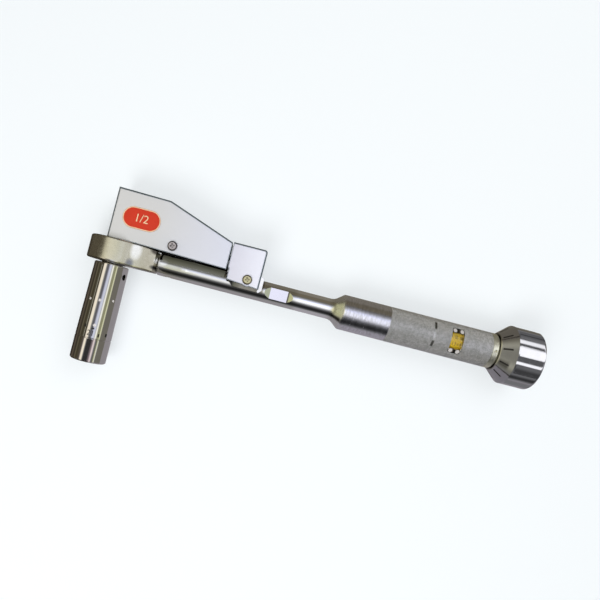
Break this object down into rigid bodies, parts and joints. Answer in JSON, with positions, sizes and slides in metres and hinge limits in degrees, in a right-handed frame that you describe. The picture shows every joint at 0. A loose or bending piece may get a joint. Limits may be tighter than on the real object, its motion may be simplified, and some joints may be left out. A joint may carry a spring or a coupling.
{
  "type": "torque wrench",
  "caption": "Marking click torque wrench: ratchet head, covered marking linkage, deep socket, knurled handle with a scale window and a fluted setting knob.",
  "frame": {"origin": "centre of the square drive where it leaves the head's lower face", "axes": "+X along the handle toward the setting knob, -Y down the drive and the socket, +Z toward the side with the scale window; the wrench lies on its -Z side"},
  "size_m": [0.3641, 0.1386, 0.047],
  "materials": {
    "satin_nickel": "satin nickel over forged steel",
    "bright_chrome": "polished chrome plate",
    "dark_chrome": "polished dark chrome plate",
    "knurled_chrome": "fine knurl under matte chrome",
    "cover_silver": "satin silver finish on folded sheet steel",
    "label_red": "red enamel with a pale rim",
    "scale_yellow": "yellow painted scale with dark marks",
    "lens_clear": "clear lens",
    "collar_nickel": "polished nickel",
    "zinc_screw": "yellow passivated zinc",
    "plated_screw": "plated steel",
    "tool_steel": "oiled tool steel",
    "spring_steel": "blued spring steel",
    "bearing_bronze": "oiled bronze",
    "ink_body": "moulded cartridge",
    "ink_felt": "inked felt"
  },
  "bodies": {
    "handle": {"main_tube": "bright_chrome", "front_grip": "knurled_chrome", "rear_grip": "knurled_chrome", "window_lens": "lens_clear", "window_pins": "plated_screw", "index_collar": "collar_nickel", "thrust_washer": "bearing_bronze", "guide_key": "tool_steel", "pivot_pin": "tool_steel", "saddle_clamp": "satin_nickel", "saddle_screws": "plated_screw", "cam_plate": "tool_steel", "end_cover": "cover_silver", "end_cover_screws": "zinc_screw", "main_spring": "spring_steel"},
    "toggle": {"toggle_block": "tool_steel"},
    "thrust": {"thrust_rod": "tool_steel"},
    "nut": {"spring_nut": "bearing_bronze", "scale_plate": "scale_yellow"},
    "knob": {"setting_knob": "dark_chrome", "adjusting_screw": "tool_steel", "knob_bolt": "tool_steel", "knob_cap": "dark_chrome"},
    "head": {"ratchet_head": "satin_nickel", "head_plate": "satin_nickel", "head_plate_screws": "plated_screw", "pawl_pin": "tool_steel", "cover_bracket": "cover_silver", "bracket_screws": "plated_screw", "plunger_guide": "bearing_bronze", "front_cover": "cover_silver", "front_cover_screws": "plated_screw", "side_label": "label_red", "rocker_pin": "tool_steel", "return_spring": "spring_steel", "pawl_spring": "spring_steel"},
    "pawl": {"pawl": "tool_steel"},
    "drive": {"drive_gear": "tool_steel", "detent_ball": "tool_steel", "detent_spring": "spring_steel"},
    "rocker": {"rocker_lever": "tool_steel", "roller_pin": "tool_steel", "follower_roller": "tool_steel"},
    "plunger": {"push_rod": "tool_steel"},
    "socket": {"deep_socket": "bright_chrome", "marker_bush": "bearing_bronze", "marker_spring": "spring_steel"},
    "marker": {"marker_cartridge": "ink_body", "marker_tip": "ink_felt"}
  },
  "joints": [
    {"name": "head_click", "type": "hinge", "parent": "handle", "child": "head", "pos_m": [0.046, 0.0078, 0], "axis": [0, 1, 0], "range_deg": [0, 1.5], "stiffness_Nm_per_rad": 40, "springref_deg": -3.44},
    {"name": "toggle_tip", "type": "hinge", "parent": "handle", "child": "toggle", "pos_m": [0.11285, 0.0078, 0], "axis": [0, -1, 0], "range_deg": [0, 10.01]},
    {"name": "rod_kick", "type": "slide", "parent": "handle", "child": "thrust", "axis": [1, 0, 0], "range_m": [0, 0.000601], "deforming": ["main_spring"]},
    {"name": "knob_turn", "type": "hinge", "parent": "handle", "child": "knob", "pos_m": [0.3108, 0.0078, 0], "axis": [1, 0, 0], "range_deg": [-1440, 1440]},
    {"name": "nut_travel", "type": "slide", "parent": "handle", "child": "nut", "axis": [1, 0, 0], "range_m": [-0.00801, 0.00801], "deforming": ["main_spring"]},
    {"name": "drive_spin", "type": "hinge", "parent": "head", "child": "drive", "pos_m": [0, 0, 0], "axis": [0, 1, 0], "continuous": true},
    {"name": "pawl_lift", "type": "hinge", "parent": "head", "child": "pawl", "pos_m": [0.0229, 0.009, 0.0046], "axis": [0, -1, 0], "range_deg": [0, 5], "stiffness_Nm_per_rad": 0.02, "springref_deg": -5.73, "deforming": ["pawl_spring"]},
    {"name": "rocker_turn", "type": "hinge", "parent": "head", "child": "rocker", "pos_m": [0.06, 0.032, 0], "axis": [0, 0, 1], "range_deg": [0, 4.01]},
    {"name": "plunger_stroke", "type": "slide", "parent": "head", "child": "plunger", "axis": [0, -1, 0], "range_m": [0, 0.00419], "deforming": ["return_spring"]},
    {"name": "socket_pull", "type": "slide", "parent": "drive", "child": "socket", "axis": [0, -1, 0], "range_m": [0, 0.018]},
    {"name": "marker_stroke", "type": "slide", "parent": "socket", "child": "marker", "axis": [0, -1, 0], "range_m": [0, 0.00419], "deforming": ["marker_spring"]}
  ],
  "couplings": [
    {"joint": "toggle_tip", "follows": "head_click", "ratio": 6.6667},
    {"joint": "rod_kick", "follows": "head_click", "m_per_rad": 0.022918},
    {"joint": "rocker_turn", "follows": "head_click", "ratio": 2.6667},
    {"joint": "plunger_stroke", "follows": "head_click", "m_per_rad": 0.15987},
    {"joint": "marker_stroke", "follows": "head_click", "m_per_rad": 0.15987},
    {"joint": "nut_travel", "follows": "knob_turn", "m_per_rad": 0.00031831}
  ]
}
